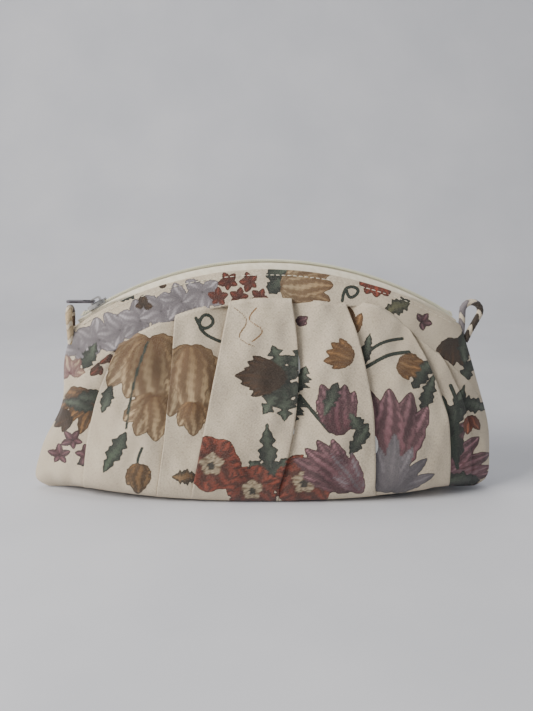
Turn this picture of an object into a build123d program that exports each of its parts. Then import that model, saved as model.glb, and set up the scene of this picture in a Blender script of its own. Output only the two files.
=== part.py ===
"""Zippered clutch pouch: a pleated cloth body under a curved yoke, closed by a coil zip on an arch.

Millimetres, +Z up, +X along the pouch, front towards -Y. The origin is the middle of the base.
Each cloth wall is one smooth surface, given its true thickness and cut into its pieces along the
yoke's seam and along the line on which the mouth folds open.
"""
import os
from math import asin, atan2, cos, hypot, pi, radians, sin, sqrt

from build123d import *

# Whole pouch
height = 136.0
base_depth = 26.0
belly_depth = 29.2
wall_gap = 0.3

# Zip arch: a circle seen from the front
arch_x = 3.0
arch_radius = 196.0
arch_z = height - arch_radius
zip_half_angle = 34.0
edge_radius = arch_radius - 5.5
edge_half_width = 8.0
zip_end_half_width = 1.6
zip_end_taper = 40.0

# Cloth layers, from the outside inwards
cloth_thickness = 0.8
wadding_thickness = 1.3
lining_thickness = 0.4
layer_gap = 0.12
seam_gap = 0.1
wadding_top = 110.0
lining_edge = 3.5

# The yoke's lower seam, a circle, and the line on which the mouth folds open
yoke_radius = 156.0
yoke_x = 6.0
yoke_z = 113.0 - yoke_radius
fold_z = 116.0
fold_y = 12.6
fold_gap = 0.3

# Zip chain, slider and pull tab
chain_width = 5.0
chain_thickness = 2.3
coil_height = 1.7
coil_gap = 0.3
tape_thickness = 0.5
tape_flat = 4.4
tape_drop = 4.0
tape_half_width = 6.7
slider_angle = -29.7
slider_length = 11.0
slider_front_width = 8.4
slider_back_width = 6.6
slider_clearance = 0.2
plate_thickness = 0.9
post_length = 1.8
post_width = 1.4
crown_height = 2.9
crown_length = 6.4
crown_width = 2.2
crown_thickness = 0.9
spring_thickness = 0.3
tab_length = 15.5
tab_width = 5.2
tab_thickness = 1.2
window_length = 5.4
window_width = 3.0
pin_radius = 0.65
tack_angle = 32.3
tack_length = 1.4
tack_height = 0.6

# Topstitching along the yoke's upper edge
thread_radius = 0.25
thread_row = 0.982

# Strap loops, teardrops of cloth tube
loop_tube = 1.9
loop_foot = 2.3
left_loop_ring = 4.8
left_loop_rise = 9.5
left_loop_seat = (-110.0, 0, 93.5)
right_loop_ring = 5.1
right_loop_rise = 12.0
right_loop_seat = (117.2, 0, 94.5)
right_loop_lean = 14.0

chain_radius = arch_radius - chain_thickness / 2
half_chain = chain_thickness / 2
plate_inner = half_chain + slider_clearance
plate_outer = plate_inner + plate_thickness
deep = 400.0

# Seam lines in the XZ plane, from the base to the zip, and the middle section in the YZ plane
left_seam = Spline((-127, 0.7), (-134, 5), (-133, 16), (-128, 30), (-117, 52), (-114.8, 76), (-109, 95.5))
right_seam = Spline((126, 0.7), (132.6, 5), (134.6, 18), (133, 38), (127.5, 58), (120.5, 80), (115, 96.5))
middle_section = Spline(
    (0, -0.3),
    (base_depth * 0.35, -0.3),
    (base_depth * 0.7, -0.3),
    (base_depth, 0.8),
    (belly_depth, 9),
    (belly_depth, 24),
    (belly_depth * 0.94, 48),
    (belly_depth * 0.76, 84),
    (fold_y, fold_z),
    (edge_half_width, edge_radius + arch_z),
)


def arch_rise(s):
    """Height of the zip circle over its chord: 1 in the middle and 0 at the seams, s = -1 and 1."""
    half = (right_seam @ 1).X - arch_x
    chord = sqrt(edge_radius**2 - half**2)
    return (sqrt(edge_radius**2 - (half * s) ** 2) - chord) / (edge_radius - chord)


def wall_point(s, v, side):
    """Outer face of a wall, side -1 in front and 1 behind: s runs along, v from base seam to zip."""
    left = left_seam @ v
    right = right_seam @ v
    middle = middle_section @ v
    fullness = 2.6 + 2.4 * v**4 + 1.4 * (1 - v) ** 3
    bulge = (1 - abs(s) ** fullness) ** 0.8
    x = (left.X + right.X) / 2 + (right.X - left.X) / 2 * s
    seam_z = (left.Y + right.Y) / 2 + (right.Y - left.Y) / 2 * s
    y = side * (wall_gap / 2 + middle.X * bulge)
    return Vector(x, y, seam_z + (middle.Y - seam_z) * arch_rise(s))


def wall_normal(s, v, side):
    """Outward unit normal of a wall, from differences of its points."""
    step = 0.004
    across = wall_point(min(s + step, 1), v, side) - wall_point(max(s - step, -1), v, side)
    up = wall_point(s, min(v + step, 1), side) - wall_point(s, max(v - step, 0), side)
    return (up.cross(across) * side).normalized()


def along(count):
    """Values from -1 to 1 that crowd towards both ends, where the wall curves most."""
    return [-cos(pi * i / count) for i in range(count + 1)]


def wall_layer(side, inset, thickness):
    """A layer of a wall whose outer face lies inset inside the wall's outer face."""
    rows = [
        [wall_point(s, v / 24, side) - wall_normal(s, v / 24, side) * inset for s in along(24)]
        for v in range(25)
    ]
    face = Face.make_surface_from_array_of_points(rows)
    layer = Solid.thicken(face, -thickness, normal_override=(0, side, 0))
    near, far = sorted((side * wall_gap / 2, side * deep))
    return layer & slab(near, far, 0, deep)


def slab(y_low, y_high, z_low, z_high):
    """A box right across the pouch between two depths and two heights."""
    size = (2 * deep, y_high - y_low, z_high - z_low)
    return Pos(0, (y_low + y_high) / 2, (z_low + z_high) / 2) * Box(*size)


def drum(x, z, radius):
    """A long cylinder along Y, for cutting along a circle that is seen from the front."""
    return Pos(x, 0, z) * Rot(90, 0, 0) * Cylinder(radius, deep)


def below(z):
    return slab(-deep, deep, -deep, z)


def above(z):
    return slab(-deep, deep, z, deep)


def outer_cloth(side):
    """The pleated lower panel, the yoke above the fold and the yoke's two tails below it."""
    cloth = wall_layer(side, 0, cloth_thickness)
    panel = cloth & drum(yoke_x, yoke_z, yoke_radius - seam_gap / 2)
    yoke = cloth - drum(yoke_x, yoke_z, yoke_radius + seam_gap / 2)
    return {
        "panel": panel,
        "yoke": yoke & above(fold_z + fold_gap / 2),
        "yoke_tails": yoke & below(fold_z - fold_gap / 2),
    }


def inner_cloth(side):
    """The wadding behind the panel, and the lining, which ends short of the slider."""
    wadding = wall_layer(side, cloth_thickness + layer_gap, wadding_thickness)
    depth = cloth_thickness + wadding_thickness + 2 * layer_gap
    lining = wall_layer(side, depth, lining_thickness)
    lining = lining & drum(arch_x, arch_z, edge_radius - lining_edge)
    return {
        "wadding": wadding & below(wadding_top),
        "lining": lining & below(fold_z - fold_gap / 2),
        "lining_top": lining & above(fold_z + fold_gap / 2),
    }


def round_arch(section):
    """A section in the YZ plane, its Z measured from the chain's middle, carried round the arch."""
    upright = Pos(0, 0, chain_radius) * (Plane.YZ * section)
    start = Rot(0, -zip_half_angle, 0) * upright
    return Pos(arch_x, 0, arch_z) * revolve(start, Axis.Y, 2 * zip_half_angle)


def zip_plan(half_width):
    """The zip seen from above: full width along the arch and pinched in at both ends."""
    end = arch_radius * sin(radians(zip_half_angle))
    pinch = end - zip_end_taper
    half = [
        (-end, -zip_end_half_width),
        (-pinch, -half_width),
        (pinch, -half_width),
        (end, -zip_end_half_width),
    ]
    outline = Polyline(*half, *[(x, -y) for x, y in reversed(half)], close=True)
    return Pos(arch_x, 0, 0) * extrude(make_face(outline), deep, both=True)


def tape(side):
    """Woven tape under one row of coil: flat inside the slider, then sloping to the yoke's edge."""
    low = -half_chain
    foot = low - tape_drop
    outline = Polyline(
        (side * chain_width / 5, low),
        (side * tape_flat, low),
        (side * tape_half_width, foot),
        (side * tape_half_width, foot + tape_thickness * 1.6),
        (side * tape_flat, low + tape_thickness),
        (side * chain_width / 5, low + tape_thickness),
        close=True,
    )
    return round_arch(make_face(outline)) & zip_plan(tape_half_width)


def coil(side):
    """One row of coil, a rounded bar on its tape, left open where the slider's post parts the rows."""
    middle = half_chain - coil_height / 2
    bar = Pos(side * (chain_width + coil_gap) / 4, middle) * RectangleRounded(
        chain_width / 2 - coil_gap / 2, coil_height - 0.1, 0.6
    )
    return round_arch(bar) - at_slider(post(slider_clearance))


def at_slider(shape):
    """Moves a shape from the slider's own frame, origin in the chain's middle, to its place."""
    return Pos(arch_x, 0, arch_z) * Rot(0, slider_angle, 0) * Pos(0, 0, chain_radius) * shape


def post(clearance):
    """The slider's wedge between its plates, which parts the two rows of coil."""
    size = (post_length, post_width, plate_inner)
    box = Box(size[0] + 2 * clearance, size[1] + 2 * clearance, 2 * size[2] + 0.2)
    return Pos(-slider_length / 2 + post_length / 2, 0, 0) * box


def slider_plate():
    """A plate's outline: broad shoulders at the mouth, to the left, and a narrower tail."""
    half = slider_length / 2
    shoulder = slider_front_width / 2
    tail = slider_back_width / 2
    points = [(-half, -shoulder), (0, -shoulder), (half, -tail)]
    outline = Polyline(*points, *[(x, -y) for x, y in reversed(points)], close=True)
    face = make_face(outline)
    return fillet(face.vertices(), 1.1)


def slider_body():
    """The die-cast body: two plates, the wedge that joins them and the upper plate's side rails."""
    upper = Pos(0, 0, plate_inner) * extrude(slider_plate(), plate_thickness, dir=(0, 0, 1))
    lower = Pos(0, 0, -plate_outer) * extrude(
        scale(slider_plate(), by=(1, 0.62, 1)), plate_thickness, dir=(0, 0, 1)
    )
    rail_inner = chain_width / 2 + slider_clearance
    ring = slider_plate() - Rectangle(slider_length + 2, 2 * rail_inner)
    rails = Pos(0, 0, slider_clearance) * extrude(ring, plate_inner - slider_clearance, dir=(0, 0, 1))
    return at_slider(upper + lower + rails + post(0))


def crown_path(length, rise):
    """A low arch over the upper plate, from foot to foot, in the XZ plane."""
    half = length / 2
    corners = [(-half, 0), (-half, rise), (half, rise), (half, 0)]
    return FilletPolyline(*[(x, 0, plate_outer + z) for x, z in corners], radius=rise * 0.55)


def strap_along(path, width, thickness):
    """A flat strip whose middle follows a path in the XZ plane."""
    section = Plane(path @ 0, x_dir=(0, 1, 0), z_dir=path % 0) * Rectangle(width, thickness)
    return sweep(section, path=path)


def slider_bridge():
    """The crown that holds the pull tab's cross bar on the slider."""
    path = crown_path(crown_length - crown_thickness, crown_height - crown_thickness / 2)
    return at_slider(strap_along(path, crown_width, crown_thickness))


def lock_spring():
    """The leaf under the crown whose tooth locks the coil when the tab lies flat."""
    length = crown_length - 2 * crown_thickness - 2 * slider_clearance
    leaf = Box(length, crown_width * 0.6, spring_thickness)
    return at_slider(Pos(0, 0, plate_outer + spring_thickness / 2 + 0.05) * leaf)


def pull_tab():
    """A flat bar with a window at its head: the cross bar beyond the window turns under the crown."""
    head = window_length + pin_radius
    blade = Pos(-head - (tab_length - head) / 2, 0, 0) * Box(tab_length - head, tab_width, tab_thickness)
    blade = fillet(blade.edges().filter_by(Axis.Z).group_by(Axis.X)[0], tab_width * 0.42)
    arm_width = (tab_width - window_width) / 2
    arm_y = (window_width + arm_width) / 2
    arm = Pos(-head / 2, 0, 0) * Box(head + 1, arm_width, tab_thickness)
    pin = Rot(90, 0, 0) * Cylinder(pin_radius, tab_width)
    tab = blade + Pos(-0.2, arm_y, 0) * arm + Pos(-0.2, -arm_y, 0) * arm + pin
    return Pos(tab_pivot()) * tab


def tab_pivot():
    """The pull tab's axis: under the crown, towards its left foot."""
    local = Vector(-pin_radius - 0.7, 0, plate_outer + spring_thickness + 0.25 + pin_radius)
    angle = radians(slider_angle)
    radius = chain_radius + local.Z
    return Vector(
        arch_x + radius * sin(angle) + local.X * cos(angle),
        0,
        arch_z + radius * cos(angle) - local.X * sin(angle),
    )


def bar_tack(angle):
    """A bar of thread sewn across the chain, against which the slider stops."""
    thread = Pos(0, 0, chain_radius + half_chain + tack_height / 2 + 0.05) * Box(
        tack_length, chain_width, tack_height
    )
    return Pos(arch_x, 0, arch_z) * Rot(0, angle, 0) * thread


def topstitch(side):
    """The stitching along the yoke's upper edge: an eight-sided thread lying on the cloth."""
    reach = 0.93
    rows = [reach * s for s in along(16)]
    lift = thread_radius + 0.06
    points = [
        wall_point(s, thread_row, side) + wall_normal(s, thread_row, side) * lift for s in rows
    ]
    path = Spline(*points)
    return sweep(Plane(path @ 0, z_dir=path % 0) * RegularPolygon(thread_radius, 8), path=path)


def strap_loop(ring, rise):
    """A teardrop of cloth tube in the XZ plane: two legs from one seam and a round top."""
    reach = hypot(loop_foot, rise)
    leg = sqrt(reach**2 - ring**2)
    angle = atan2(rise, loop_foot) + asin(ring / reach)
    side = -loop_foot + leg * cos(angle)
    up = leg * sin(angle)
    left = Line((-loop_foot, 0, 0), (side, 0, up))
    top = ThreePointArc((side, 0, up), (0, 0, rise + ring), (-side, 0, up))
    right = Line((-side, 0, up), (loop_foot, 0, 0))
    path = Wire([*left.edges(), *top.edges(), *right.edges()])
    return sweep(Plane(path @ 0, z_dir=path % 0) * Circle(loop_tube), path=path)


def left_loop():
    return Pos(left_loop_seat) * Rot(0, 0, 90) * strap_loop(left_loop_ring, left_loop_rise)


def right_loop():
    leaning = Rot(0, right_loop_lean, 0) * strap_loop(right_loop_ring, right_loop_rise)
    return Pos(right_loop_seat) * leaning


def write(name, shape):
    """Writes a piece's solids to parts/NAME.step."""
    solids = shape.solids()
    export_step(solids[0] if len(solids) == 1 else Compound(children=solids), f"parts/{name}.step")


def main():
    os.makedirs("parts", exist_ok=True)
    for face, side in (("front", -1), ("back", 1)):
        pieces = {**outer_cloth(side), **inner_cloth(side)}
        pieces.update(tape=tape(side), coil=coil(side), topstitch=topstitch(side))
        for name, shape in pieces.items():
            write(f"{face}_{name}", shape)
    singles = {
        "left_bar_tack": bar_tack(-tack_angle),
        "right_bar_tack": bar_tack(tack_angle),
        "slider_body": slider_body(),
        "slider_bridge": slider_bridge(),
        "lock_spring": lock_spring(),
        "pull_tab": pull_tab(),
        "left_loop": left_loop(),
        "right_loop": right_loop(),
    }
    for name, shape in singles.items():
        write(name, shape)
    print("pull tab turns about", tuple(tab_pivot()))


main()
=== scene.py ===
import math

import bpy
import numpy as np
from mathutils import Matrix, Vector


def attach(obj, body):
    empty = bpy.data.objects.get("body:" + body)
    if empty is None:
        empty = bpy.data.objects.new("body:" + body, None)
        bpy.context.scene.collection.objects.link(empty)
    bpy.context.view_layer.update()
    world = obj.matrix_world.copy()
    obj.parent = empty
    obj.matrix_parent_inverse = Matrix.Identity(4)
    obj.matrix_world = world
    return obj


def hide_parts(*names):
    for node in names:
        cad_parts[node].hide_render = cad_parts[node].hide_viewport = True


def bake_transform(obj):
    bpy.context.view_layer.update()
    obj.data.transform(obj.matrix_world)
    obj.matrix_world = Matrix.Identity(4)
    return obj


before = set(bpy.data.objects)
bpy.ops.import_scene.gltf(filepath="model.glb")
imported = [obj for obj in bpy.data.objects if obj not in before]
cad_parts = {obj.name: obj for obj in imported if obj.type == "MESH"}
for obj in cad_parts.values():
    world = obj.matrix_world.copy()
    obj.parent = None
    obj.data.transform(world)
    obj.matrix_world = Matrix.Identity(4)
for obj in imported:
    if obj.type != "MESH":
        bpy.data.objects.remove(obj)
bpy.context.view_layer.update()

MM = 0.001


# ---- Studio -------------------------------------------------------------------------------------
# A pale floor that sweeps up behind, a large soft window to the left and front, a weak fill and a
# top light. The eye stands a little above the pouch, at arm's length.
floor_reach, wall_y, wall_height = 1.6, 0.55, 1.5
look_at = np.array([0.0026, 0.0, 0.0800])
eye_distance, eye_elevation = 0.56, math.radians(12.0)
field_height = 0.412
eye = look_at + eye_distance * np.array([0, -math.cos(eye_elevation), math.sin(eye_elevation)])


def linear(r, g, b):
    """A colour as the eye counts it, 0 to 255, turned into light: the display curve undone."""
    c = np.array([r, g, b]) / 255
    return np.where(c <= 0.04045, c / 12.92, ((c + 0.055) / 1.055) ** 2.4)


def light(name, place, target, size, watts, tint=(1, 1, 1)):
    lamp = bpy.data.objects.new(name, bpy.data.lights.new(name, "AREA"))
    bpy.context.scene.collection.objects.link(lamp)
    lamp.data.size = size
    lamp.data.energy = watts
    lamp.data.color = tint
    lamp.location = place
    aim = np.array(target) - np.array(place)
    lamp.rotation_euler = Vector(aim).to_track_quat("-Z", "Y").to_euler()
    return lamp


class Value:
    """A shader socket that adds its own Math nodes when it is used in an expression."""

    def __init__(self, graph, socket):
        self.graph, self.socket = graph, socket

    def math(self, operation, *others):
        return self.graph.node("ShaderNodeMath", {"operation": operation}, self, *others)

    def __add__(self, other):
        return self.math("ADD", other)

    def __sub__(self, other):
        return self.math("SUBTRACT", other)

    def __rsub__(self, other):
        return self.graph.node("ShaderNodeMath", {"operation": "SUBTRACT"}, other, self)

    def __mul__(self, other):
        return self.math("MULTIPLY", other)

    def __truediv__(self, other):
        return self.math("DIVIDE", other)

    __radd__, __rmul__ = __add__, __mul__


class Graph:
    """One material's nodes. Each call adds a node, links its inputs and returns its first output."""

    def __init__(self, name, roughness=0.8, **constants):
        self.material = bpy.data.materials.new(name)
        self.material.use_nodes = True
        self.tree = self.material.node_tree
        self.shader = self.tree.nodes["Principled BSDF"]
        self.set(Roughness=roughness, **constants)

    def node(self, kind, settings=None, *values, output=0, **named):
        made = self.tree.nodes.new(kind)
        for key, value in (settings or {}).items():
            setattr(made, key, value)
        for key, value in [*enumerate(values), *named.items()]:
            self.feed(made.inputs[key if isinstance(key, int) else key.replace("_", " ")], value)
        return Value(self, made.outputs[output])

    def feed(self, socket, value):
        if isinstance(value, Value):
            self.tree.links.new(value.socket, socket)
        elif isinstance(value, np.ndarray):
            socket.default_value = (*value, 1)
        else:
            socket.default_value = value

    def set(self, **values):
        for key, value in values.items():
            self.feed(self.shader.inputs[key.replace("_", " ")], value)

    def ramp(self, factor, *stops):
        """A colour ramp through (place, colour) stops."""
        made = self.node("ShaderNodeValToRGB", None, factor)
        elements = made.socket.node.color_ramp.elements
        while len(elements) < len(stops):
            elements.new(0.5)
        for element, (place, colour) in zip(elements, stops):
            element.position = place
            element.color = (*colour, 1)
        return made

    def mix(self, factor, a, b, blend="MIX"):
        made = self.tree.nodes.new("ShaderNodeMix")
        made.data_type, made.blend_type = "RGBA", blend
        for socket, value in zip((made.inputs[0], made.inputs[6], made.inputs[7]), (factor, a, b)):
            self.feed(socket, value)
        return Value(self, made.outputs[2])

    def attribute(self, name, output=2):
        return self.node("ShaderNodeAttribute", {"attribute_name": name}, output=output)

    def noise(self, where, scale, detail=3.0, rough=0.5):
        return self.node(
            "ShaderNodeTexNoise", None, Vector=where, Scale=scale, Detail=detail, Roughness=rough
        )

    def soft_step(self, value, low, high):
        return self.node(
            "ShaderNodeMapRange", {"interpolation_type": "SMOOTHSTEP"}, value, low, high, 0.0, 1.0
        )

    def bump(self, height, distance, strength=1.0):
        return self.node("ShaderNodeBump", None, Height=height, Distance=distance, Strength=strength)


def surface(name, points, closed_across=False, attributes=None, uv=None, flip=False):
    """A grid of points, rows by columns by 3 in metres, made into one mesh of quads."""
    rows, cols = points.shape[:2]
    index = np.arange(rows * cols).reshape(rows, cols)
    if closed_across:
        index = np.concatenate([index, index[:, :1]], axis=1)
    quads = np.stack([index[:-1, :-1], index[:-1, 1:], index[1:, 1:], index[1:, :-1]], axis=-1)
    quads = quads.reshape(-1, 4)
    if flip:
        quads = quads[:, ::-1]
    return mesh_piece(name, points.reshape(-1, 3), quads, attributes, uv)


def mesh_piece(name, verts, quads, attributes=None, uv=None):
    """A smooth-shaded object from vertices and quads, with point attributes and a UV map."""
    mesh = bpy.data.meshes.new(name)
    mesh.vertices.add(len(verts))
    mesh.vertices.foreach_set("co", np.ascontiguousarray(verts, np.float32).ravel())
    mesh.loops.add(quads.size)
    mesh.loops.foreach_set("vertex_index", quads.astype(np.int32).ravel())
    mesh.polygons.add(len(quads))
    mesh.polygons.foreach_set("loop_start", np.arange(0, quads.size, 4, dtype=np.int32))
    mesh.update(calc_edges=True)
    mesh.polygons.foreach_set("use_smooth", np.ones(len(quads), bool))
    for key, values in (attributes or {}).items():
        values = np.ascontiguousarray(values, np.float32)
        if values.reshape(len(verts), -1).shape[1] == 1:
            mesh.attributes.new(key, "FLOAT", "POINT").data.foreach_set("value", values.ravel())
        else:
            rgba = np.concatenate([values.reshape(-1, 3), np.ones((len(verts), 1))], axis=1)
            layer = mesh.attributes.new(key, "FLOAT_COLOR", "POINT")
            layer.data.foreach_set("color", rgba.astype(np.float32).ravel())
    if uv is not None:
        layer = mesh.uv_layers.new(name="cloth")
        layer.data.foreach_set("uv", uv.reshape(-1, 2)[quads.ravel()].astype(np.float32).ravel())
    piece = bpy.data.objects.new(name, mesh)
    bpy.context.scene.collection.objects.link(piece)
    return piece


def swept_floor():
    """A flat floor that curves up into a back wall on a quarter circle."""
    bend = 0.4
    turn = np.linspace(0, math.pi / 2, 24)
    run = [(-floor_reach, 0.0)]
    run += [(wall_y + bend * math.sin(a), bend - bend * math.cos(a)) for a in turn]
    run += [(wall_y + bend, wall_height)]
    y, z = np.array(run).T
    x = np.linspace(-floor_reach, floor_reach, 3)
    grid = np.stack(np.broadcast_arrays(x[None, :], y[:, None], z[:, None] - 0.0002), axis=-1)
    return surface("floor", grid)


floor = swept_floor()
cover_cloth = Graph("pale_floor", roughness=0.95)
where = cover_cloth.node("ShaderNodeTexCoord", output=3)
mottle = cover_cloth.noise(where, 9.0, 4.0)
pale = cover_cloth.ramp(mottle, (0.3, linear(196, 197, 202)), (0.7, linear(206, 206, 210)))
cover_cloth.set(Base_Color=pale)
floor.data.materials.append(cover_cloth.material)

light("window", (-0.95, -0.6, 0.7), (0, 0, 0.06), 0.7, 24.0, (1.0, 0.97, 0.93))
light("fill", (0.9, -0.8, 0.5), (0, 0, 0.05), 1.0, 2.0, (0.95, 0.97, 1.0))
light("overhead", (0.0, 0.2, 1.2), (0, 0, 0), 1.0, 6.0)
world = bpy.data.worlds.new("room")
world.use_nodes = True
world.node_tree.nodes["Background"].inputs[0].default_value = (0.75, 0.78, 0.82, 1)
world.node_tree.nodes["Background"].inputs[1].default_value = 0.34
bpy.context.scene.world = world

camera = bpy.data.objects.new("eye", bpy.data.cameras.new("eye"))
bpy.context.scene.collection.objects.link(camera)
camera.location = eye
camera.rotation_euler = (math.pi / 2 - eye_elevation, 0, 0)
camera.data.sensor_width = 36.0
camera.data.lens = 36.0 * eye_distance / field_height
camera.data.clip_start = 0.01
bpy.context.scene.camera = camera


# ---- The cloth walls ----------------------------------------------------------------------------
# Front and back are the same cut: two side seams, a middle section and the zip's circle give the
# wall's outer face. Every cloth piece below is a stretch of it, moved along its normal.
arch_x, arch_z = 3.0, -60.0
edge_radius, edge_half_width, fold_y, fold_z = 190.5, 8.0, 12.6, 116.0
left_seam = [(-127, 0.7), (-134, 5), (-133, 16), (-128, 30), (-117, 52), (-114.8, 76), (-109, 95.5)]
right_seam = [(126, 0.7), (132.6, 5), (134.6, 18), (133, 38), (127.5, 58), (120.5, 80), (115, 96.5)]
middle_section = [
    (0, 0), (9.1, 0), (18.2, 0), (26, 1), (29.2, 9), (29.2, 24), (27.4, 48), (22.2, 84),
    (fold_y, fold_z), (edge_half_width, edge_radius + arch_z),
]
seam_depth = 0.15
yoke_x, yoke_z, yoke_radius = 6.0, -43.0, 156.0
shoulder_x, shoulder_width, shoulder_rise = 66.0, 21.0, 7.0


def smooth_line(points, at):
    """A natural cubic through the points, by its share 0 to 1 of the chords' added length."""
    p = np.array(points, float)
    t = np.concatenate([[0], np.cumsum(np.hypot(*np.diff(p, axis=0).T))])
    h = np.diff(t)
    system = np.diag(np.concatenate([[1], 2 * (h[:-1] + h[1:]), [1]]))
    system += np.diag(np.concatenate([h[:-1], [0]]), -1) + np.diag(np.concatenate([[0], h[1:]]), 1)
    slope = np.diff(p, axis=0) / h[:, None]
    bend = np.linalg.solve(system, np.vstack([[0, 0], 6 * np.diff(slope, axis=0), [0, 0]]))
    at = np.asarray(at) * t[-1]
    i = np.clip(np.searchsorted(t, at, side="right") - 1, 0, len(h) - 1)
    b, a = (at - t[i])[..., None], (t[i + 1] - at)[..., None]
    k = h[i][..., None]
    curved = (bend[i] * a**3 + bend[i + 1] * b**3) / (6 * k)
    return curved + (p[i] / k - bend[i] * k / 6) * a + (p[i + 1] / k - bend[i + 1] * k / 6) * b


def wall(s, v, side):
    """Outer face in mm: the seams' points at v spread over s, bulged in Y and raised to the arch."""
    left, right, middle = (smooth_line(line, v) for line in (left_seam, right_seam, middle_section))
    fullness = 2.6 + 2.4 * v**4 + 1.4 * (1 - v) ** 3
    bulge = np.clip(1 - np.abs(s) ** fullness, 0, 1) ** 0.8
    half = 112.0
    chord = math.sqrt(edge_radius**2 - half**2)
    rise = (np.sqrt(edge_radius**2 - (half * s) ** 2) - chord) / (edge_radius - chord)
    x = (left[..., 0] + right[..., 0]) / 2 + (right[..., 0] - left[..., 0]) / 2 * s
    low = (left[..., 1] + right[..., 1]) / 2 + (right[..., 1] - left[..., 1]) / 2 * s
    y = side * (seam_depth + middle[..., 0] * bulge)
    return np.stack([x, y, low + (middle[..., 1] - low) * rise], axis=-1)


def outward(s, v, side):
    """Unit normals of the wall, away from the pouch, from small steps in s and v."""
    step = 0.003
    across = wall(np.minimum(s + step, 1), v, side) - wall(np.maximum(s - step, -1), v, side)
    up = wall(s, np.minimum(v + step, 1), side) - wall(s, np.maximum(v - step, 0), side)
    n = np.cross(up, across) * side
    return n / np.maximum(np.linalg.norm(n, axis=-1, keepdims=True), 1e-9)


def seam_share(s, side):
    """v of the yoke's lower seam: a circle seen from the front, a little higher on the right shoulder."""
    ladder = np.linspace(0, 1, 401)[:, None]
    place = wall(s[None, :] + 0 * ladder, ladder + 0 * s[None, :], side)
    x, z = place[..., 0], place[..., 2]
    seam = yoke_z + np.sqrt(yoke_radius**2 - np.minimum(np.abs(x - yoke_x), 150) ** 2)
    seam = seam + shoulder_rise * np.exp(-(((x - shoulder_x) / shoulder_width) ** 2))
    return ladder[np.argmax(z > seam, axis=0), 0]


def drawn(points, side):
    """Where the eye, or its double behind, sees points against the upright plane of the seams."""
    eye_x, eye_y, eye_z = eye[0] / MM, -side * eye[1] / MM, eye[2] / MM
    share = eye_y / (eye_y - points[..., 1])
    return eye_x + (points[..., 0] - eye_x) * share, eye_z + (points[..., 2] - eye_z) * share


def ease(t):
    """0 below 0, 1 above 1 and a smooth step between."""
    t = np.clip(t, 0, 1)
    return t * t * (3 - 2 * t)


def cloth_lengths(points):
    """Cloth coordinates in metres: lengths along the rows, from the middle, and up the columns."""
    along = np.linalg.norm(np.diff(points, axis=1), axis=-1)
    along = np.concatenate([np.zeros((len(points), 1)), np.cumsum(along, axis=1)], axis=1)
    along -= along[:, along.shape[1] // 2][:, None]
    up = np.linalg.norm(np.diff(points, axis=0), axis=-1)
    up = np.concatenate([np.zeros((1, points.shape[1])), np.cumsum(up, axis=0)], axis=0)
    return np.stack([along, up], axis=-1)


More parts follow.
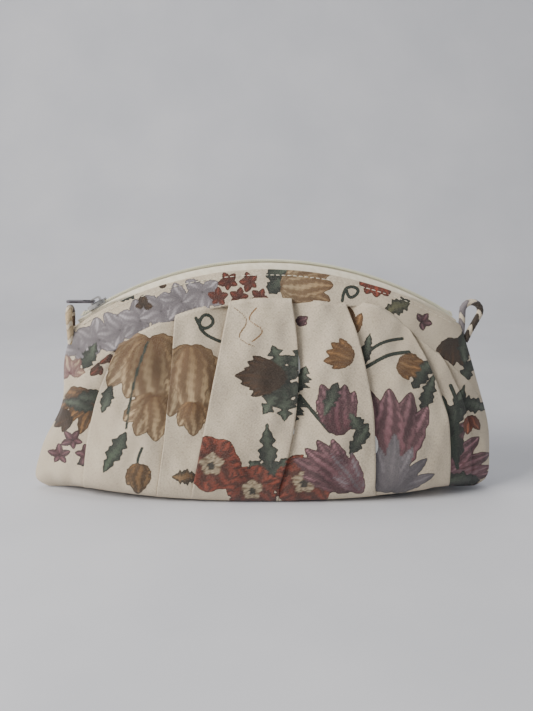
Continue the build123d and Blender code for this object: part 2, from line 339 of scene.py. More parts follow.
# ---- Printed canvas -----------------------------------------------------------------------------
# Cotton and linen in a coarse basket weave, printed with loose painted flowers on a cream ground.
# The print is a drawing in mm on the upright plane through the side seams, as the eye sees it.
class Print:
    """A painted cloth: cover is the distance in mm outside the nearest motif, and ink is its colour."""

    def __init__(self, x, z):
        self.x, self.z = x, z
        self.cover = np.full(x.shape, 9.0)
        self.ink = np.zeros(x.shape + (3,)) + linear(150, 130, 110)
        self.only = np.ones(x.shape, bool)

    def lay(self, outside, colour):
        """Lays colour where outside is negative, and a little beyond the motif where nothing lies yet."""
        here = self.only & (outside < 1.2) & ((outside < 0) | (outside < self.cover))
        self.ink[here] = colour[here]
        self.cover = np.where(self.only, np.minimum(self.cover, outside), self.cover)

    def petal(self, x, z, angle, length, width, base, tip, dark=None, round_=0.75, ragged=0.0, veins=5):
        """A petal from its foot at (x, z): half its width follows a power of a sine along its length."""
        a = math.radians(angle)
        u = ((self.x - x) * math.cos(a) + (self.z - z) * math.sin(a)) / length
        w = -(self.x - x) * math.sin(a) + (self.z - z) * math.cos(a)
        wave = 1 + ragged * np.sin(u * 23 + x) + ragged * np.sin(u * 41 + z)
        half = width / 2 * np.sin(math.pi * np.clip(u, 0, 1) ** 0.8) ** round_ * wave
        outside = np.maximum(np.abs(w) - half, np.maximum(-u, u - 1) * length)
        share = np.clip(u, 0, 1)[..., None]
        colour = linear(*base) * (1 - share) + linear(*tip) * share
        vein = np.cos(w / np.maximum(half, 0.6) * veins * 1.7 + np.sin(u * 9 + x) * 0.7) * 0.5 + 0.5
        fleck = np.sin(u * 37 + w * 1.9 + z) * np.sin(u * 17 - w * 2.3 + x)
        tone = np.clip((vein - 0.3) * 1.5 + fleck * 0.45, 0, 1)[..., None]
        shade = linear(*(dark or [c * 0.55 for c in base]))
        colour = colour * (0.8 + 0.5 * share) * tone + (colour * 0.25 + shade * 0.75) * (1 - tone)
        rim = np.clip(1 + outside / 1.4, 0, 1)[..., None] * 0.85
        self.lay(outside, colour * (1 - rim) + shade * rim)

    def fan(self, x, z, middle, spread, count, length, width, base, tip, dark, round_=0.6, veins=4):
        """Petals spread evenly about a direction, outer ones first, shorter to the sides, every other one
        a little darker.
        """
        for k in sorted(range(count), key=lambda k: -abs(2 * k - count + 1)):
            off = (2 * k - count + 1) / max(count - 1, 1)
            tone = 1 - 0.14 * (k % 2)
            inks = [[c * tone for c in ink] for ink in (base, tip)]
            size = 1 - 0.22 * abs(off) ** 1.5 - 0.06 * (k % 3)
            turn = middle + off * spread / 2
            self.petal(x, z, turn, length * size, width * size, *inks, dark, round_, 0.05, veins)

    def leaf(self, x, z, angle, length, width, dark=(28, 42, 38), pale=(92, 104, 88), ragged=0.16):
        self.petal(x, z, angle, length, width, dark, pale, (16, 26, 26), 0.9, ragged, 2)

    def stem(self, points, width, colour=(34, 50, 42)):
        """A line of one width through the points, by the least distance to its short steps."""
        line = smooth_line(points, np.linspace(0, 1, 26))
        gap = np.full(self.x.shape, 99.0)
        for a, b in zip(line[:-1], line[1:]):
            d = b - a
            t = ((self.x - a[0]) * d[0] + (self.z - a[1]) * d[1]) / max(d @ d, 1e-9)
            t = np.clip(t, 0, 1)
            gap = np.minimum(gap, np.hypot(self.x - a[0] - t * d[0], self.z - a[1] - t * d[1]))
        self.lay(gap - width / 2, np.zeros(self.x.shape + (3,)) + linear(*colour))

    def disc(self, x, z, radius, colour, dark):
        r = np.hypot(self.x - x, self.z - z)
        turn = np.arctan2(self.z - z, self.x - x)
        tone = (np.sin(turn * 9 + r * 2.2) * np.sin(r * 3.1 + x) * 0.5 + 0.5)[..., None]
        paint = linear(*colour) * tone + linear(*dark) * (1 - tone)
        self.lay(r - radius * (1 + 0.12 * np.sin(turn * 5)), paint)

    def daisy(self, x, z, radius, count=6, petals=((150, 68, 48), (88, 32, 24)), start=0.0):
        """Short broad petals round a pale centre with dark dots."""
        for k in range(count):
            turn = start + 360 * k / count
            self.petal(x, z, turn, radius, radius * 1.05, petals[1], petals[0], (44, 16, 12), 0.5, 0.1, 5)
        self.disc(x, z, radius * 0.36, (206, 190, 158), (96, 72, 50))
        self.disc(x, z - radius * 0.06, radius * 0.13, (52, 48, 40), (30, 30, 28))

    def within(self, mask):
        """The same cloth with motifs held to the points of a mask, such as one pleat."""
        self.only = mask
        return self


def canvas(name):
    """Basket weave in cloth lengths: the ink's edges and flecks are broken up by the threads."""
    g = Graph(name, roughness=0.92, Specular_IOR_Level=0.2, Sheen_Weight=0.2, Sheen_Roughness=0.6)
    thread = 0.00064
    uv = g.node("ShaderNodeUVMap", {"uv_map": "cloth"})
    wobble = g.noise(uv, 420.0, 2.0)
    parts = g.node("ShaderNodeSeparateXYZ", None, uv).socket.node
    u = Value(g, parts.outputs[0]) / thread + wobble * 0.7
    v = Value(g, parts.outputs[1]) / thread + wobble * 0.7
    warp = (u * math.pi).math("SINE").math("ABSOLUTE")
    weft = (v * math.pi).math("SINE").math("ABSOLUTE")
    over = ((u * (math.pi / 2)).math("SINE") * (v * (math.pi / 2)).math("SINE")).math("GREATER_THAN", 0.0)
    height = warp * over + weft * (over * -1 + 1)
    slub = g.noise(uv, 900.0, 2.0)
    streak = g.noise(uv, 2600.0, 2.0, 0.7)
    edge = g.attribute("cover") + (g.noise(uv, 1500.0, 3.0, 0.6) - 0.5) * 0.9
    printed = g.soft_step(edge, -0.12, 0.16) * -1 + 1
    outline = g.soft_step(edge, -1.0, -0.1) * printed
    painted = g.attribute("ink", 0)
    painted = g.mix(g.soft_step(streak, 0.45, 0.65) * 0.2, painted, linear(214, 205, 190))
    painted = g.mix(outline * 0.4, painted, linear(70, 56, 50), "MULTIPLY")
    ground = g.mix(g.noise(uv, 60.0, 3.0), linear(232, 219, 196), linear(216, 200, 174))
    ground = g.mix(g.soft_step(slub, 0.45, 0.75) * 0.5, ground, linear(178, 160, 134))
    colour = g.mix(printed, ground, painted)
    # Painted shade: the cloth is darkened where the weave's height is low, in the hollows between the
    # threads.
    colour = g.mix((height * -1 + 1) * 0.75, colour, linear(128, 116, 102), "MULTIPLY")
    g.set(Base_Color=colour, Normal=g.bump(height * 0.8 + slub * 0.4, 0.00022, 0.7))
    return g.material


canvas_cloth = canvas("printed_canvas")
beige, tan, brown, umber = (206, 182, 142), (150, 118, 78), (88, 56, 28), (42, 27, 16)
mauve, plum, wine, grey = (160, 116, 124), (98, 44, 58), (50, 20, 32), (128, 122, 128)
ochre, rust, deep = (168, 122, 70), (150, 64, 42), (70, 24, 18)


# ---- Pleated panels -----------------------------------------------------------------------------
# Each lower panel is one piece of canvas, laid in knife pleats that face outwards from the middle,
# held in the yoke's seam above and turned under the base to the bottom seam.
class Pleat:
    """A fold's edge in mm, as seen: its x at the seam and at the base, and its sideways bow between."""

    def __init__(self, top, top_z, foot, bow, facing, under_top, under_foot, lift):
        self.top, self.top_z, self.foot, self.bow, self.facing = top, top_z, foot, bow, facing
        self.under_top, self.under_foot, self.lift = under_top, under_foot, lift

    def x(self, z):
        down = 1 - z / self.top_z
        return self.top + (self.foot - self.top) * down + 4 * self.bow * down * np.clip(1 - down, 0, 1)


# From left to right: x and z where the fold leaves the seam, x at the base, bow, facing (-1 left,
# 1 right), cloth folded under at the seam and at the base, and how far the edge stands out.
pleats = [
    Pleat(-79, 90, -106, -6, -1, 5.5, 0.8, 3.4),
    Pleat(-49, 104, -62, 1, -1, 6.5, 1.0, 3.6),
    Pleat(-19, 108, -41, 0, -1, 7.0, 3.5, 4.0),
    Pleat(17, 110, 10, 7, 1, 7.0, 1.6, 3.4),
    Pleat(48, 109, 67, 6, 1, 7.0, 1.4, 3.0),
    Pleat(80, 101, 111, 10, 1, 6.0, 2.2, 3.2),
    Pleat(102, 80, 123, 8, 1, 4.0, 1.0, 2.2),
]
panel_rows, stretch_columns, fold_columns = 200, 44, 6


def pleat_edges(side, share, seam, s_fine):
    """s of every pleat's edge on every row: where the row crosses the pleat's line."""
    v = share[:, None] * seam[None, :]
    x, z = drawn(wall(s_fine[None, :] + 0 * v, v, side), side)
    rows = np.arange(len(share))
    edges = []
    for pleat in pleats:
        miss = x - pleat.x(z)
        at = np.maximum(np.argmax(miss > 0, axis=1), 1)
        before, after = miss[rows, at - 1], miss[rows, at]
        part = np.clip(before / (before - after - 1e-9), 0, 1)
        edges.append(s_fine[at - 1] + (s_fine[at] - s_fine[at - 1]) * part)
    return edges


def creases(x, z, seed):
    """Soft unevenness of handled cloth in mm: a few slanting waves, each with its own phase."""
    rng = np.random.default_rng(seed)
    height = 0
    for wave in (46, 31, 22, 15, 11):
        turn, first, second = rng.uniform(-0.7, 0.7), *rng.uniform(0, 6.28, 2)
        run = x * math.cos(turn) + z * math.sin(turn)
        swell = np.sin(run * 6.28 / wave + first) * np.sin(z * 2.3 / wave + second)
        height = height + wave * 0.02 * swell
    return height


def pleated_grid(side, seed):
    """Rows run from base seam to yoke, and cross each pleat in a zigzag: over, back under and on."""
    share = np.linspace(0, 1.025, panel_rows)
    s_fine = np.linspace(-1, 1, 900)
    seam = seam_share(s_fine, side)
    edges = pleat_edges(side, np.minimum(share, 1), seam, s_fine)
    half_width = 124.0
    up = (0.35 + 0.65 * ease((share - 0.18) / 0.82))[:, None]
    left, lifted_left = np.full(panel_rows, -1.0), 0.0
    all_s, all_n, stretch = [], [], []
    for k, pleat in enumerate([*pleats, None]):
        right = edges[k] if pleat else np.full(panel_rows, 1.0)
        lifted_right = 0.0 if pleat is None else pleat.lift if pleat.facing > 0 else -0.7
        t = np.linspace(0, 1, stretch_columns)[None, :]
        length = (right - left)[:, None] * half_width
        n = up * (lifted_left * np.exp(-t * length / 8) + lifted_right * np.exp((t - 1) * length / 8))
        n = n + 2.6 * np.sin(math.pi * t) * np.clip(length / 30, 0, 1) * up
        all_s.append(left[:, None] + (right - left)[:, None] * t)
        all_n.append(n)
        stretch += [k] * stretch_columns
        if pleat is None:
            break
        deep_share = ((up - 0.35) / 0.65) ** 1.4
        under = (pleat.under_foot + (pleat.under_top - pleat.under_foot) * deep_share) / half_width
        top = pleat.lift * up
        out = np.linspace(0, 1, fold_columns)[None, :]
        s = np.concatenate([0.002 + 0 * under, -under * out, -under * (1 - out)], axis=1)
        n = [top - 0.3, (top - 0.55) * (1 - out) - 0.5 * out, 0.1 * out - 0.8 + 0 * under]
        n = np.concatenate(n, axis=1)
        if pleat.facing < 0:
            s, n = -s[:, ::-1], n[:, ::-1]
        all_s.append(right[:, None] + s)
        all_n.append(n)
        stretch += [k if pleat.facing > 0 else k + 1] * s.shape[1]
        left, lifted_left = right, -0.7 if pleat.facing > 0 else pleat.lift
    s = np.clip(np.concatenate(all_s, axis=1), -1, 1)
    n = np.concatenate(all_n, axis=1)
    tucked = np.maximum(share - 1, 0)[:, None]
    v = np.minimum(share, 1)[:, None] * np.interp(s, s_fine, seam) + tucked * 0.6
    base = wall(s, v, side)
    n = n + creases(base[..., 0] * side, base[..., 2], seed)
    n = n * ease(base[..., 2] / 12) * ease((1 - np.abs(s)) / 0.035) - 1.3 * ease(tucked / 0.025)
    points = base + outward(s, v, side) * n[..., None]
    points[..., 2] = np.maximum(points[..., 2], 0.05)
    return points, np.array(stretch)[None, :] + 0 * s.astype(int)


def panel_flowers(x, z, stretch):
    """The panel's flowers, from left to right; each is held to its own stretch between pleats."""
    p = Print(x, z)
    p.within(stretch <= 1)
    for along_seam in range(4):
        p.fan(-94 + 6 * along_seam, 74 + 7 * along_seam, 225, 90, 3, 9, 6, deep, rust, umber)
    p.within(stretch == 0)
    p.fan(-99, 57, 226, 100, 5, 28, 10, brown, ochre, umber)
    p.leaf(-92, 58, 200, 24, 9)
    p.leaf(-98, 48, 165, 20, 8)
    p.leaf(-110, 14, 20, 17, 6)
    p.fan(-112, 44, 200, 80, 4, 15, 7, umber, brown, umber)
    for k in range(3):
        p.fan(-120 + 8 * k, 20 + 9 * (k % 2), 90 + 40 * k, 290, 5, 8, 5, plum, mauve, wine)
    p.within(stretch == 1)
    p.fan(-65, 90, 268, 120, 7, 46, 22, tan, beige, brown)
    p.fan(-62, 56, 268, 100, 5, 32, 17, tan, beige, brown)
    p.leaf(-80, 34, 240, 30, 9, (38, 56, 46), (88, 104, 84))
    p.stem([(-66, 88), (-74, 66), (-80, 36)], 1.4)
    p.leaf(-88, 62, 250, 18, 7)
    p.stem([(-71, 24), (-74, 14), (-72, 6)], 1.6)
    p.fan(-72, 14, 262, 50, 3, 20, 13, ochre, tan, umber)
    p.leaf(-40, 4, 180, 16, 9, brown, tan)
    p.within(stretch == 2)
    p.fan(-41, 86, 270, 70, 5, 52, 23, tan, beige, brown)
    p.fan(-40, 52, 268, 60, 3, 22, 14, ochre, beige, brown)
    p.stem([(-38, 102), (-33, 96), (-28, 100), (-32, 104), (-36, 99), (-30, 91), (-20, 87)], 1.9)
    p.leaf(-39, 6, 180, 15, 9, brown, tan)
    p.within(stretch == 3)
    p.stem([(-16, 108), (-9, 99), (-13, 92), (-4, 85)], 0.8, tan)
    p.stem([(-3, 108), (-7, 101), (0, 95), (-6, 88)], 0.8, ochre)
    for turn in (65, 110, 235, 268, 320):
        p.leaf(14, 64, turn, 24, 12, ragged=0.3)
    p.fan(14, 67, 178, 62, 7, 30, 10, umber, brown, umber)
    for turn, long in ((92, 34), (140, 16), (40, 19)):
        p.leaf(4, 6, turn, long, 10, ragged=0.2)
    p.daisy(-30, 14, 18, 7)
    p.daisy(-6, -2, 16, 7, start=20)
    p.within((stretch == 3) | (stretch == 4))
    p.daisy(25, 3, 18, 7, start=10)
    p.within(stretch == 4)
    p.fan(20, 99, 30, 60, 3, 8, 5, plum, mauve, wine)
    p.leaf(20, 58, 70, 17, 10, ragged=0.3)
    p.leaf(22, 55, 250, 18, 10, ragged=0.3)
    p.stem([(22, 56), (30, 46), (40, 34)], 2.2)
    p.fan(53, 78, 164, 80, 5, 19, 8, tan, ochre, brown)
    p.fan(46, 32, 98, 50, 5, 36, 14, plum, mauve, wine)
    p.leaf(63, 30, 128, 20, 9)
    p.leaf(44, 64, 250, 22, 8)
    p.leaf(52, 20, 60, 22, 8)
    p.fan(54, -2, 138, 52, 5, 44, 14, plum, mauve, wine)
    p.fan(60, -4, 128, 44, 3, 34, 9, grey, grey, plum)
    p.within(stretch == 5)
    p.stem([(52, 70), (60, 73), (73, 80), (85, 82)], 2.2)
    p.stem([(58, 73), (62, 82), (71, 88), (81, 90)], 1.9)
    p.leaf(59, 74, 80, 20, 6)
    p.leaf(88, 60, 60, 24, 9)
    p.leaf(94, 46, 75, 24, 8)
    p.fan(79, 76, -18, 80, 5, 16, 8, tan, ochre, brown)
    p.fan(52, 92, 98, 60, 3, 18, 8, tan, ochre, brown)
    p.fan(76, 6, 92, 56, 5, 62, 21, plum, mauve, wine)
    p.leaf(57, 17, 120, 22, 8)
    p.fan(77, -3, 88, 130, 7, 36, 10, grey, grey, (92, 88, 94))
    p.within(stretch >= 6)
    p.fan(100, 54, 264, 30, 3, 52, 18, plum, mauve, wine)
    p.fan(100, 2, 46, 70, 5, 46, 15, plum, mauve, wine)
    p.fan(96, -3, 22, 30, 3, 46, 11, grey, mauve, plum)
    p.leaf(116, 14, 104, 44, 13)
    p.leaf(110, 30, 76, 34, 10)
    p.leaf(114, 52, -10, 20, 9)
    p.leaf(130, 4, 178, 26, 9)
    p.stem([(116, 12), (114, 30), (115, 48), (110, 62)], 2.3)
    p.fan(122, 44, 285, 40, 2, 15, 8, rust, (190, 112, 74), deep)
    return p


for face, side, seed in (("front", -1, 4), ("back", 1, 9)):
    points, stretch = pleated_grid(side, seed)
    flowers = panel_flowers(*drawn(points, side), stretch)
    panel = surface(
        f"{face}_pleated_panel", points * MM, attributes={"cover": flowers.cover, "ink": flowers.ink},
        uv=cloth_lengths(points) * MM, flip=side > 0,
    )
    panel.data.materials.append(canvas_cloth)
    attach(panel, "root")
    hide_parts(f"{face}_panel")


# ---- Yokes --------------------------------------------------------------------------------------
# A crescent of the same canvas on each side runs under the zip and narrows down both side seams.
# It is sewn over the pleats, so its lower edge stands proud, and its top edge is rolled to the tape.
yoke_rows, yoke_columns, yoke_proud = 56, 620, 1.3


def yoke_grid(side, seed):
    """From a tucked lower edge, out over a rounded shoulder, up the wall and over the rolled top."""
    s = np.linspace(-1, 1, yoke_columns)
    seam = seam_share(s, side)
    t = np.linspace(0, 1, yoke_rows)[:, None]
    v = seam[None, :] + (1 - seam[None, :]) * np.clip((t - 0.06) / 0.86, 0, 1)
    turn_in, turn_over = 1 - np.clip(t / 0.1, 0, 1), np.clip((t - 0.92) / 0.08, 0, 1)
    n = yoke_proud - 2.0 * turn_in**2 - 2.2 * turn_over**2
    s_grid = s[None, :] + 0 * v
    base = wall(s_grid, v, side)
    n = (n + creases(base[..., 0] * side, base[..., 2], seed) * 0.5) * ease((1 - np.abs(s_grid)) / 0.02)
    points = base + outward(s_grid, v, side) * n[..., None]
    points[..., 2] += 0.5 * np.sin(math.pi * turn_over)
    return points


def yoke_flowers(x, z):
    """Grey roses on the left, rust berries and a tan petal over the middle, a bud on the right."""
    p = Print(x, z)
    pale_grey, shade_grey = (196, 190, 194), (104, 98, 104)
    for k in range(7):
        p.fan(-106 + 12 * k, 84 + 5.5 * k, 60 + 35 * k, 250, 5, 15, 11, grey, pale_grey, shade_grey)
    p.fan(-68, 109, 90, 180, 3, 7, 6, umber, brown, umber)
    p.fan(-59, 121, 60, 120, 3, 6, 5, umber, brown, umber)
    p.leaf(-82, 112, 40, 20, 8)
    p.leaf(-104, 72, 62, 18, 8)
    p.fan(-112, 70, 100, 200, 5, 12, 8, (196, 170, 160), beige, plum)
    for k in range(5):
        p.fan(-25 + 6 * k, 114 + 9 * (k % 2), 90 + 30 * k, 280, 5, 7, 5, deep, rust, deep)
    p.leaf(4, 116, 55, 18, 10)
    p.leaf(2, 126, 20, 15, 8)
    p.fan(11, 120, 2, 70, 5, 34, 15, beige, tan, brown)
    p.stem([(46, 112), (50, 120), (55, 118), (51, 114), (48, 119)], 1.8)
    p.fan(66, 128, 268, 110, 5, 16, 11, rust, rust, deep)
    p.leaf(85, 112, 205, 18, 9, (72, 76, 52), (110, 108, 76))
    p.fan(92, 100, 20, 200, 4, 7, 5, plum, mauve, wine)
    p.fan(111, 90, 268, 90, 5, 19, 9, umber, brown, umber)
    p.leaf(116, 95, 275, 22, 7)
    p.leaf(122, 78, 250, 20, 7)
    return p


for face, side, seed in (("front", -1, 5), ("back", 1, 7)):
    points = yoke_grid(side, seed)
    flowers = yoke_flowers(*drawn(points, side))
    yoke = surface(
        f"{face}_yoke_cloth", points * MM, attributes={"cover": flowers.cover, "ink": flowers.ink},
        uv=cloth_lengths(points) * MM, flip=side > 0,
    )
    yoke.data.materials.append(canvas_cloth)
    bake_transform(yoke)
    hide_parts(f"{face}_yoke", f"{face}_yoke_tails")


# ---- Wadding and linings ------------------------------------------------------------------------
# A thin batt of polyester wadding fills out each pleated panel, and a plain cotton lining, cut
# like the wall, closes it off inside and is caught in the zip's seam.
batt_outer, batt_inner = -1.7, -2.4
lining_inset, edge_inset = -3.1, -1.2


def wall_patch(s, v, side, inset):
    """Points of the wall moved along its normal, pinched together in the side seams."""
    pinch = ease((1 - np.abs(s)) / 0.03)
    return wall(s, v, side) + outward(s, v, side) * (inset * pinch)[..., None]


def batt(side):
    """Rows along the pouch; each goes up the outer face and down the inner one."""
    s = np.linspace(-0.99, 0.99, 240)[:, None]
    seam = seam_share(s[:, 0], side)[:, None] * 0.96
    up = np.linspace(0.02, 1, 40)[None, :]
    v = np.concatenate([seam * up, seam * up[:, ::-1]], axis=1)
    loft = 0.25 * np.sin(s * 60) * np.sin(v * 40) * (v > 0.05)
    inset = np.concatenate([0 * up + batt_outer, 0 * up + batt_inner], axis=1) + np.minimum(loft, 0)
    return wall_patch(s + 0 * v, v, side, inset)


def plain_weave(name, pale, dark, thread, roughness):
    """Fine plain-woven cloth: warp and weft as two sine ridges with uneven colour."""
    g = Graph(name, roughness=roughness, Specular_IOR_Level=0.2)
    uv = g.node("ShaderNodeUVMap", {"uv_map": "cloth"})
    parts = g.node("ShaderNodeSeparateXYZ", None, uv).socket.node
    warp, weft = [(Value(g, parts.outputs[k]) * (math.pi / thread)).math("SINE") for k in (0, 1)]
    height = warp.math("ABSOLUTE").math("MAXIMUM", weft.math("ABSOLUTE"))
    blotch = g.noise(uv, 300.0, 4.0)
    colour = g.mix(g.soft_step(blotch, 0.3, 0.7), linear(*pale), linear(*dark))
    g.set(Base_Color=colour, Normal=g.bump(height + blotch, 0.0001, 0.6))
    return g.material


def fleece(name):
    """White polyester wadding: soft tangled fibres."""
    g = Graph(name, roughness=1.0, Specular_IOR_Level=0.1)
    where = g.node("ShaderNodeTexCoord", output=3)
    fibres = g.noise(where, 1800.0, 5.0, 0.7)
    g.set(Base_Color=g.ramp(fibres, (0.3, linear(205, 204, 200)), (0.7, linear(236, 236, 233))))
    g.set(Normal=g.bump(fibres, 0.0003, 0.7))
    return g.material


wadding_cloth = fleece("wadding")
lining_cloth = plain_weave("lining_cotton", (226, 218, 202), (214, 204, 186), 0.00035, 0.9)

for face, side in (("front", -1), ("back", 1)):
    fill = surface(f"{face}_batt", batt(side) * MM, closed_across=True, flip=side < 0)
    fill.data.materials.append(wadding_cloth)
    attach(fill, "root")
    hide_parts(f"{face}_wadding")

    s, v = np.meshgrid(np.linspace(-0.985, 0.985, 220), np.linspace(0.01, 0.998, 90))
    inset = lining_inset + (edge_inset - lining_inset) * ease((v - 0.94) / 0.05)
    points = wall_patch(s, v, side, inset + 0.12 * np.sin(s * 24) * np.sin(v * 9))
    lining = surface(f"{face}_lining_cloth", points * MM, uv=cloth_lengths(points) * MM, flip=side < 0)
    lining.data.materials.append(lining_cloth)
    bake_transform(lining)
    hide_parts(f"{face}_lining", f"{face}_lining_top")


# ---- The zip: tapes and coils --------------------------------------------------------------------
# A woven tape on each side carries one row of nylon coil, a wire wound in flat turns. The tapes
# slope to the yoke's rolled edge and are pinched together beyond both ends of the chain.
chain_radius, half_chain, half_angle = 194.85, 1.15, 34.0
tape_end_half, tape_half, tape_taper = 1.6, 6.7, 40.0
coil_pitch, wire_radius, coil_y, coil_across, coil_up, coil_mid = 1.0, 0.33, 1.38, 0.92, 0.5, 0.32


def on_arch(angle, y, up):
    """Points in mm on the zip's circle: angle from its top in radians, y, and height over the chain."""
    x = arch_x + (chain_radius + up) * np.sin(angle)
    z = arch_z + (chain_radius + up) * np.cos(angle)
    return np.stack(np.broadcast_arrays(x, y, z), axis=-1)


def tape_grid(side):
    """A closed band: over the flat by the coil, down the slope, and back underneath."""
    angle = np.radians(np.linspace(-half_angle, half_angle, 320))[:, None]
    share = np.linspace(0, 1, 12)
    y = np.interp(share, [0, 0.45, 1], [0.9, 4.2, tape_half])
    up = np.interp(share, [0, 0.45, 0.62, 1], [-0.66, -0.7, -1.6, -4.0])
    y, up = np.concatenate([y, y[::-1]]), np.concatenate([up, up[::-1] - 0.45])
    from_end = chain_radius * np.sin(math.radians(half_angle)) - np.abs(chain_radius * np.sin(angle))
    limit = tape_end_half + (tape_half - tape_end_half) * np.clip(from_end / tape_taper, 0, 1)
    return on_arch(angle, side * np.minimum(y[None, :], limit), up[None, :])


def coil_wire(side):
    """A wire wound round a flat oval as it goes along the arch; the two rows lie half a turn apart."""
    turns = int(2 * math.radians(half_angle - 1.0) * chain_radius / coil_pitch)
    steps, around = 12, 6
    wind = np.arange(turns * steps + 1) / steps
    angle = math.radians(1.0 - half_angle) + (wind + (side > 0) * 0.5) * coil_pitch / chain_radius
    turn = wind * 2 * math.pi
    y = side * (coil_y + coil_across * np.cos(turn))
    path = on_arch(angle, y, coil_mid + coil_up * np.sin(turn))
    ahead = np.gradient(path, axis=0)
    ahead /= np.linalg.norm(ahead, axis=1, keepdims=True)
    along = np.stack([np.cos(angle), 0 * angle, -np.sin(angle)], axis=-1)
    first = np.cross(ahead, along)
    first /= np.linalg.norm(first, axis=1, keepdims=True)
    second = np.cross(ahead, first)
    ring = np.linspace(0, 2 * math.pi, around, endpoint=False)
    offset = first[:, None] * np.cos(ring)[:, None] + second[:, None] * np.sin(ring)[:, None]
    return path[:, None] + offset * wire_radius


def nylon(name):
    """Dyed nylon monofilament, slightly glossy, its shade drifting a little along the chain."""
    g = Graph(name, roughness=0.42, Coat_Weight=0.1)
    where = g.node("ShaderNodeTexCoord", output=3)
    drift = g.noise(where, 90.0, 2.0)
    g.set(Base_Color=g.ramp(drift, (0.3, linear(206, 204, 178)), (0.7, linear(222, 219, 196))))
    return g.material


tape_cloth = plain_weave("zip_tape", (228, 220, 200), (216, 206, 184), 0.00055, 0.85)
coil_nylon = nylon("zip_coil")

for face, side in (("front", -1), ("back", 1)):
    points = tape_grid(side)
    band = surface(
        f"{face}_woven_tape", points * MM, closed_across=True,
        uv=cloth_lengths(points) * MM, flip=side > 0,
    )
    band.data.materials.append(tape_cloth)
    wire = surface(f"{face}_coil_wire", coil_wire(side) * MM, closed_across=True)
    wire.data.materials.append(coil_nylon)
    for piece, node, finish in ((band, "tape", "zip_tape"), (wire, "coil", "zip_coil")):
        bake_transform(piece)
        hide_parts(f"{face}_{node}")


# ---- Stitching -----------------------------------------------------------------------------------
# One row of cream topstitching holds the yoke's rolled edge to each tape: separate short stitches
# that dip into the cloth. A bar of close thread at each end of the chain stops the slider.
stitch, stitch_gap, thread_radius, thread_row = 2.5, 0.7, 0.24, 0.982


def thread_material(name):
    """Twisted polyester thread: slanting plies."""
    g = Graph(name, roughness=0.6, Sheen_Weight=0.2)
    where = g.node("ShaderNodeTexCoord", output=3)
    diagonal = {"bands_direction": "DIAGONAL"}
    plies = g.node("ShaderNodeTexWave", diagonal, Vector=where, Scale=900.0, Distortion=1.0)
    # Painted shade: the grooves between the plies, where the wave is low, are painted darker.
    g.set(Base_Color=g.mix(plies, linear(206, 196, 172), linear(226, 217, 196)))
    g.set(Normal=g.bump(plies, 0.00008, 0.6))
    return g.material


def tubes(paths, radius, around=6):
    """Closed round tubes along paths [piece, step, 3]; the ends narrow to a point."""
    ahead = np.gradient(paths, axis=1)
    ahead /= np.linalg.norm(ahead, axis=-1, keepdims=True)
    first = np.cross(ahead, np.array([0.02, 0.03, 1.0]))
    first /= np.linalg.norm(first, axis=-1, keepdims=True)
    second = np.cross(ahead, first)
    share = np.linspace(-1, 1, paths.shape[1])[None, :, None, None]
    swell = radius * np.sqrt(np.clip(1 - share**8, 0.0004, 1))
    ring = np.linspace(0, 2 * math.pi, around, endpoint=False)[:, None]
    offset = first[:, :, None] * np.cos(ring) + second[:, :, None] * np.sin(ring)
    points = paths[:, :, None] + offset * swell
    count, steps = paths.shape[:2]
    index = np.arange(count * steps * around).reshape(count, steps, around)
    after = np.roll(index, -1, axis=2)
    quads = np.stack([index[:, :-1], after[:, :-1], after[:, 1:], index[:, 1:]], axis=-1).reshape(-1, 4)
    return points.reshape(-1, 3), quads


def stitch_row(side):
    """Stitches laid one after another by their length along the seam line."""
    s = np.linspace(-0.93, 0.93, 2000)
    base = wall(s, thread_row + 0 * s, side)
    length = np.concatenate([[0], np.cumsum(np.linalg.norm(np.diff(base, axis=0), axis=1))])
    starts = np.arange(0, length[-1] - stitch, stitch + stitch_gap)
    share = np.linspace(0, 1, 7)
    at = np.interp(starts[:, None] + stitch * share[None, :], length, s)
    lift = yoke_proud + 0.28 - 0.55 * np.abs(2 * share - 1) ** 6
    row = thread_row + 0 * at
    paths = wall(at, row, side) + outward(at, row, side) * lift[None, :, None]
    return tubes(paths, thread_radius)


def tack(angle):
    """Eight turns of thread side by side across the chain."""
    turns = 8
    along = np.radians(angle) + (np.arange(turns) - (turns - 1) / 2)[:, None] * 0.2 / chain_radius
    share = np.linspace(-1, 1, 9)[None, :]
    return tubes(on_arch(along, 2.5 * share, half_chain + 0.35 - 0.5 * share**6), 0.17)


thread = thread_material("thread")
for face, side in (("front", -1), ("back", 1)):
    points, quads = stitch_row(side)
    row = mesh_piece(f"{face}_stitches", points * MM, quads)
    row.data.materials.append(thread)
    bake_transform(row)
    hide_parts(f"{face}_topstitch")
for end, angle in (("left", -32.3), ("right", 32.3)):
    points, quads = tack(angle)
    bar = mesh_piece(f"{end}_tack", points * MM, quads)
    bar.data.materials.append(thread)
    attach(bar, "root")
    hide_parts(f"{end}_bar_tack")


# ---- Slider, crown, spring and pull tab -----------------------------------------------------------
# Die-cast zinc, nickel plated and bright, with soft wear on its faces; the pull tab's nickel is painted
# dark, a painted reflection of dark surroundings in its shiny face. The leaf spring is blued steel. The
# shapes are the frame's own.
def plated(name, pale, dark, roughness):
    """Plated metal: cloudy wear and fine scratches in the roughness."""
    g = Graph(name, roughness=roughness, Metallic=1.0)
    where = g.node("ShaderNodeTexCoord", output=3)
    wear = g.noise(where, 260.0, 4.0)
    g.set(Base_Color=g.ramp(wear, (0.3, linear(*dark)), (0.65, linear(*pale))))
    g.set(Roughness=g.soft_step(wear, 0.2, 0.8) * 0.2 + roughness)
    g.set(Normal=g.bump(g.noise(where, 2400.0, 2.0), 0.00002, 0.4))
    return g.material


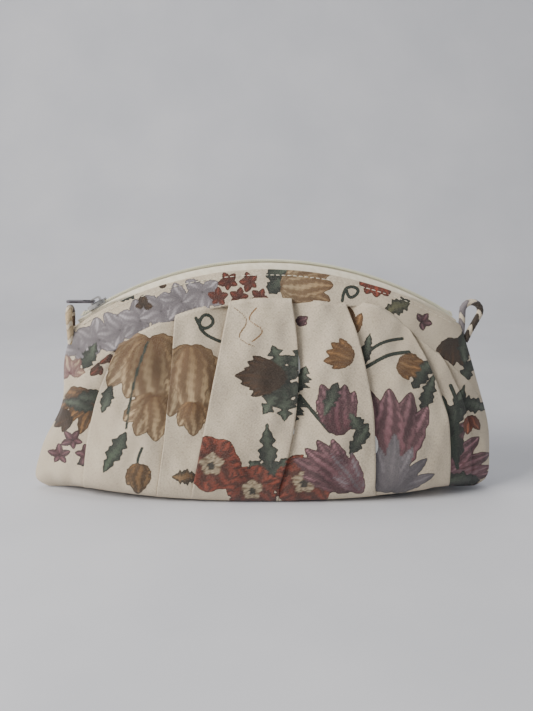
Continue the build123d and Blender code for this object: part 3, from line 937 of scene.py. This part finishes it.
nickel = plated("nickel", (205, 202, 198), (150, 146, 142), 0.2)
# Painted reflection: the pull tab is the same nickel in dark colours, standing in for the dark room
# mirrored in its shiny face.
nickel_painted_dark_reflection = plated("nickel_painted_dark_reflection", (128, 122, 126), (66, 62, 64), 0.28)
blued = plated("spring_steel", (120, 122, 130), (86, 88, 96), 0.3)
for node, metal in (
    ("slider_body", nickel), ("slider_bridge", nickel), ("pull_tab", nickel_painted_dark_reflection), ("lock_spring", blued),
):
    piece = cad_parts[node]
    piece.data.materials.clear()
    piece.data.materials.append(metal)


# ---- Strap loops ----------------------------------------------------------------------------------
# Each loop is a rouleau: a bias strip of the canvas sewn to a tube and turned, so it has one seam
# line and small puckers where it bends. Both feet are caught in the side seam.
loop_radius, loop_foot = 1.9, 2.3


def teardrop(ring, rise, count=90):
    """Two legs out of one seam and a round top between: x, z and the length so far."""
    reach = math.hypot(loop_foot, rise)
    leg = math.sqrt(reach**2 - ring**2)
    lean = math.atan2(rise, loop_foot) + math.asin(ring / reach)
    start = math.atan2(leg * math.sin(lean) - rise, leg * math.cos(lean) - loop_foot) % (2 * math.pi)
    turn = np.linspace(start, math.pi - start, 60)
    top = np.stack([ring * np.cos(turn), rise + ring * np.sin(turn)], axis=-1)
    left_leg, right_leg = [(-1.4, -6.0), (-loop_foot, 0.0)], [(loop_foot, 0.0), (1.4, -6.0)]
    line = np.concatenate([left_leg, top, right_leg])
    length = np.concatenate([[0], np.cumsum(np.hypot(*np.diff(line, axis=0).T))])
    at = np.linspace(0, length[-1], count)
    return np.interp(at, length, line[:, 0]), np.interp(at, length, line[:, 1]), at


def rouleau(ring, rise):
    """A tube round the teardrop in the XZ plane, puckered inside the bend, with a raised seam."""
    x, z, length = teardrop(ring, rise)
    path = np.stack([x, 0 * x, z], axis=-1)
    ahead = np.gradient(path, axis=0)
    ahead /= np.linalg.norm(ahead, axis=1, keepdims=True)
    inner = np.cross(ahead, [0, 1, 0])[:, None]
    around = np.linspace(0, 2 * math.pi, 24, endpoint=False)[None, :]
    pucker = 0.05 * np.sin(length * 3.1)[:, None] * (1 + np.cos(around)) / 2
    seam = 0.07 * np.exp(-(((around - 1.5) / 0.18) ** 2))
    across = inner * np.cos(around)[..., None] + np.array([0, 1, 0]) * np.sin(around)[..., None]
    points = path[:, None] + across * (loop_radius * (1 + pucker + seam))[..., None]
    share = (length / length[-1])[:, None] + 0.03 * np.sin(around * 2)
    uv = np.stack(np.broadcast_arrays(length[:, None], around * loop_radius), axis=-1)
    return points, share, uv


def left_place(points):
    """Turned to stand across the pouch over the left seam."""
    return np.stack([-110.0 - points[..., 1], points[..., 0], 93.5 + points[..., 2]], axis=-1)


def right_place(points):
    """Leaning outwards over the right seam."""
    lean = math.radians(14.0)
    x, z = points[..., 0], points[..., 2]
    x, z = x * math.cos(lean) + z * math.sin(lean), z * math.cos(lean) - x * math.sin(lean)
    return np.stack([117.2 + x, points[..., 1], 94.5 + z], axis=-1)


for end, ring, rise, place, inks in (
    ("left", 4.8, 9.5, left_place, (beige, brown)), ("right", 5.1, 12.0, right_place, (grey, umber)),
):
    points, share, uv = rouleau(ring, rise)
    half = (share > 0.5)[..., None]
    ink = linear(*inks[0]) * ~half + linear(*inks[1]) * half
    cover = 0.9 * np.sin(share * 31) - 0.5
    tube = surface(
        f"{end}_rouleau", place(points) * MM, closed_across=True, attributes={"cover": cover, "ink": ink},
        uv=uv * MM,
    )
    tube.data.materials.append(canvas_cloth)
    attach(tube, "root")
    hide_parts(f"{end}_loop")
